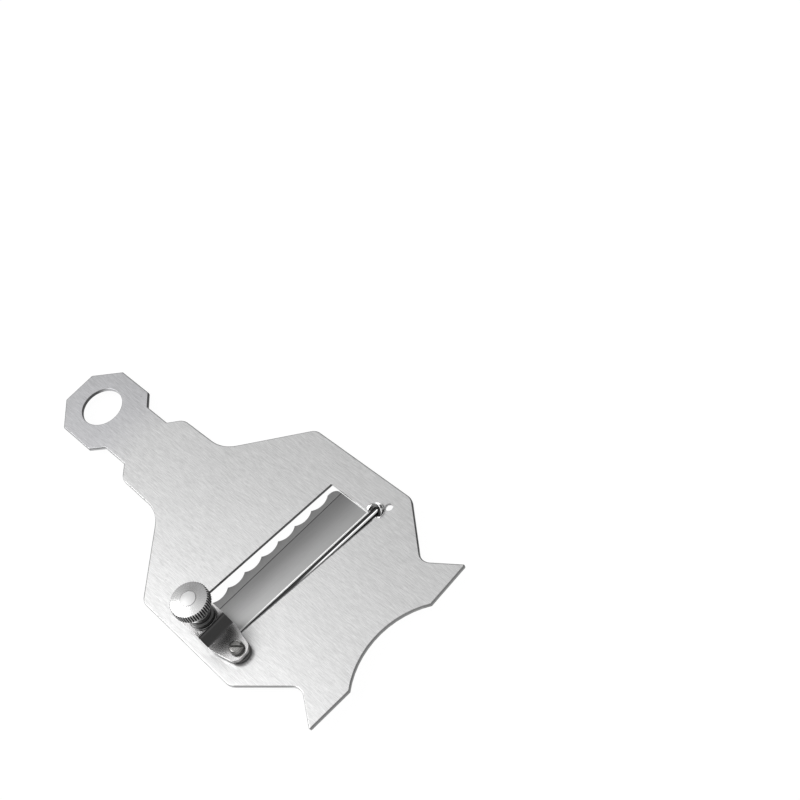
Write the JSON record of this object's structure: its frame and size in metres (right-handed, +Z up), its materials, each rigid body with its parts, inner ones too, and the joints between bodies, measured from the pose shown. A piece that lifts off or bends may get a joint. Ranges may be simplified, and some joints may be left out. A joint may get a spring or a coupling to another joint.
{
  "type": "truffle slicer",
  "caption": "Hand-held truffle slicer: a waisted steel plate with a hanging hole and a forked tail, and a scalloped blade in a slanting window that a knurled thumb screw raises.",
  "frame": {"origin": "on the plate's underside, on its centre line, midway between the handle's end and the tail", "axes": "+Y runs to the handle's end, +X to the side with the pressed-up hood, +Z up out of the plate's top face"},
  "size_m": [0.0986, 0.2, 0.028],
  "materials": {
    "plate_steel": "brushed along its length",
    "blade_steel": "satin, ground edge",
    "rod_steel": "polished",
    "keeper_steel": "plain",
    "block_steel": "machined",
    "bracket_steel": "polished",
    "ring_steel": "turned",
    "fastener_steel": "turned",
    "bush_steel": "turned",
    "spindle_chrome": "polished",
    "head_chrome": "turned and knurled",
    "washer_steel": "plain",
    "clip_steel": "oiled spring steel"
  },
  "bodies": {
    "frame": {"body_plate": "plate_steel", "bracket": "bracket_steel", "spacer_ring": "ring_steel", "bracket_screw": "fastener_steel", "threaded_bush": "bush_steel", "bearing_block": "block_steel", "rod_keeper": "keeper_steel"},
    "blade_unit": {"blade": "blade_steel", "hinge_rod": "rod_steel"},
    "lift": {"thrust_washer": "washer_steel"},
    "screw": {"spindle": "spindle_chrome", "knob_head": "head_chrome", "retaining_clip": "clip_steel"}
  },
  "joints": [
    {"name": "screw_lift", "type": "slide", "parent": "frame", "child": "lift", "axis": [0, 0, 1], "range_m": [0, 0.00237]},
    {"name": "knob_turn", "type": "hinge", "parent": "lift", "child": "screw", "pos_m": [-0.0375, -0.03619, 0.02], "axis": [0, 0, 1], "range_deg": [0, 1213.2]},
    {"name": "blade_tilt", "type": "hinge", "parent": "frame", "child": "blade_unit", "pos_m": [0, -0.05096, -0.00067], "axis": [0.995, -0.0895, 0.045], "range_deg": [0, 12.02]}
  ],
  "couplings": [
    {"joint": "screw_lift", "follows": "knob_turn", "m_per_rad": 0.00011141},
    {"joint": "blade_tilt", "follows": "knob_turn", "ratio": 0.0098878}
  ]
}
